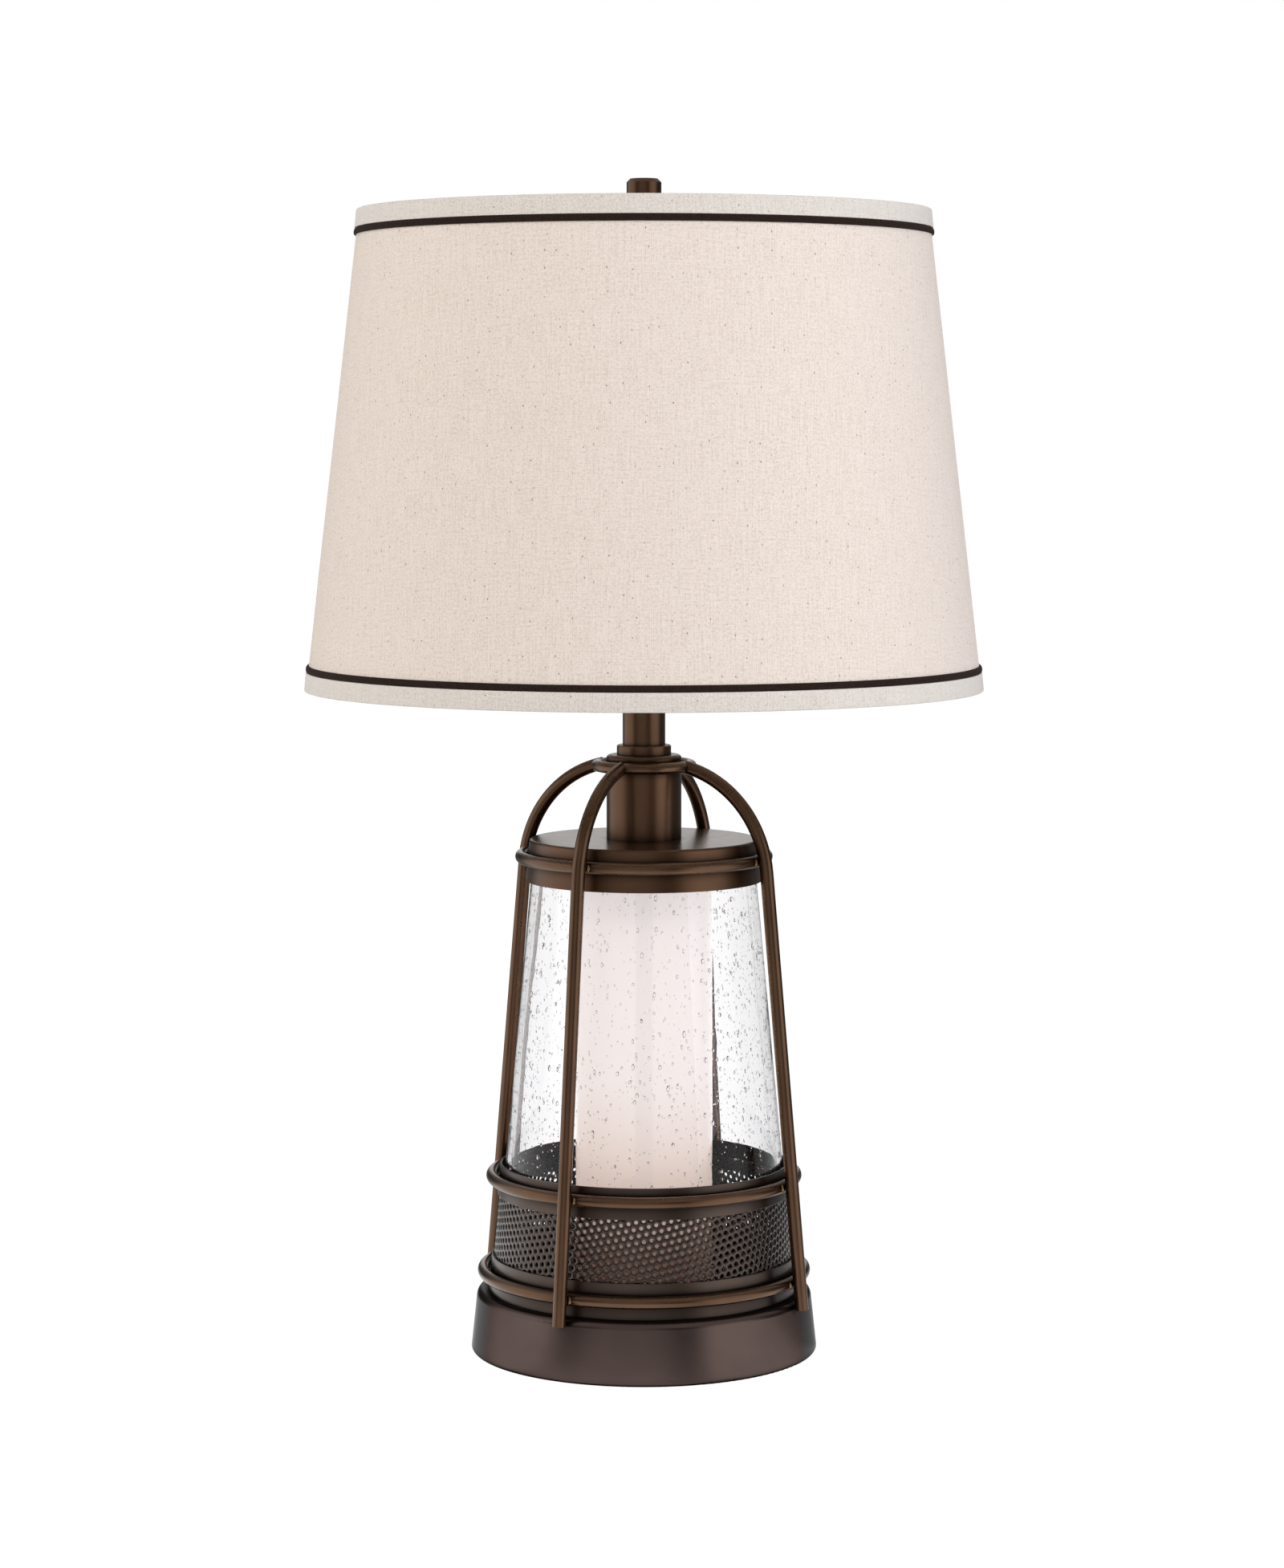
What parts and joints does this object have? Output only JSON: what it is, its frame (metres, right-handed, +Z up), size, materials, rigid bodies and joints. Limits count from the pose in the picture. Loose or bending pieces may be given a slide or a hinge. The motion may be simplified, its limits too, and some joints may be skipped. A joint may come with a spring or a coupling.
{
  "type": "table lamp",
  "caption": "Table lamp: tapered seedy glass lantern in a dark bronze bar cage on a round base, with a perforated band and a tapered linen drum shade on a harp.",
  "frame": {"origin": "middle of the felt pad's lower face, where the lamp rests", "axes": "+Z up along the lamp's axis; -Y is the front, with the switch knob; +Y is the back, with the inlet for the mains lead; cage legs stand on the diagonals"},
  "size_m": [0.3807, 0.3806, 0.66],
  "materials": {
    "bronze": "satin oil-rubbed bronze",
    "brass": "satin",
    "steel": "zinc plated",
    "iron": "raw casting",
    "felt": "felt",
    "seedy_glass": "clear with bubbles",
    "opal_glass": "opal white",
    "black_plastic": "moulded",
    "linen": "oatmeal linen weave",
    "hem_tape": "bias-cut linen tape",
    "piping": "dark brown piping"
  },
  "bodies": {
    "lamp": {"base_felt_pad": "felt", "base_bottom_plate": "steel", "base_weight": "iron", "base_pan": "bronze", "cord_bushing": "black_plastic", "bottom_washer": "steel", "bottom_nut": "steel", "lamp_pipe": "brass", "lower_tube_seat": "steel", "upper_tube_seat": "steel", "inner_tube": "opal_glass", "night_light_socket": "black_plastic", "night_light_bulb": "opal_glass", "night_light_bulb_cap": "steel", "seedy_glass": "seedy_glass", "lower_collar": "bronze", "perforated_band": "bronze", "upper_collar": "bronze", "glass_cap": "bronze", "lower_ring": "bronze", "middle_ring": "bronze", "upper_ring": "bronze", "crown_ring": "bronze", "cage_leg_front_left": "bronze", "cage_leg_front_right": "bronze", "cage_leg_back_right": "bronze", "cage_leg_back_left": "bronze", "column": "bronze", "crown_plate": "bronze", "column_cap": "bronze", "neck_collar": "bronze", "neck_tube": "bronze", "harp_saddle": "bronze", "harp_wire": "bronze", "harp_stud": "brass", "socket_cap": "brass", "socket_shell": "brass", "socket_body": "black_plastic", "socket_screw_shell": "brass", "main_bulb": "opal_glass", "main_bulb_cap": "steel"},
    "shade": {"shade_panel": "linen", "shade_top_hem": "hem_tape", "shade_bottom_hem": "hem_tape", "shade_top_piping": "piping", "shade_bottom_piping": "piping", "shade_top_wire": "steel", "shade_bottom_wire": "steel", "shade_spider": "steel"},
    "finial": {"finial": "bronze"},
    "switch": {"switch_shaft": "brass", "switch_knob": "black_plastic"},
    "left_sleeve": {"harp_sleeve_left": "bronze"},
    "right_sleeve": {"harp_sleeve_right": "bronze"}
  },
  "joints": [
    {"name": "shade_swivel", "type": "hinge", "parent": "lamp", "child": "shade", "pos_m": [0, 0, 0.633], "axis": [0, 0, 1], "continuous": true},
    {"name": "finial_unscrew", "type": "hinge", "parent": "lamp", "child": "finial", "pos_m": [0, 0, 0.6346], "axis": [0, 0, 1], "range_deg": [0, 3960]},
    {"name": "switch_turn", "type": "hinge", "parent": "lamp", "child": "switch", "pos_m": [0, 0, 0.4221], "axis": [0, -1, 0], "continuous": true},
    {"name": "left_sleeve_slide", "type": "slide", "parent": "lamp", "child": "left_sleeve", "axis": [0, 0, 1], "range_m": [0, 0.012]},
    {"name": "right_sleeve_slide", "type": "slide", "parent": "lamp", "child": "right_sleeve", "axis": [0, 0, 1], "range_m": [0, 0.012]}
  ]
}
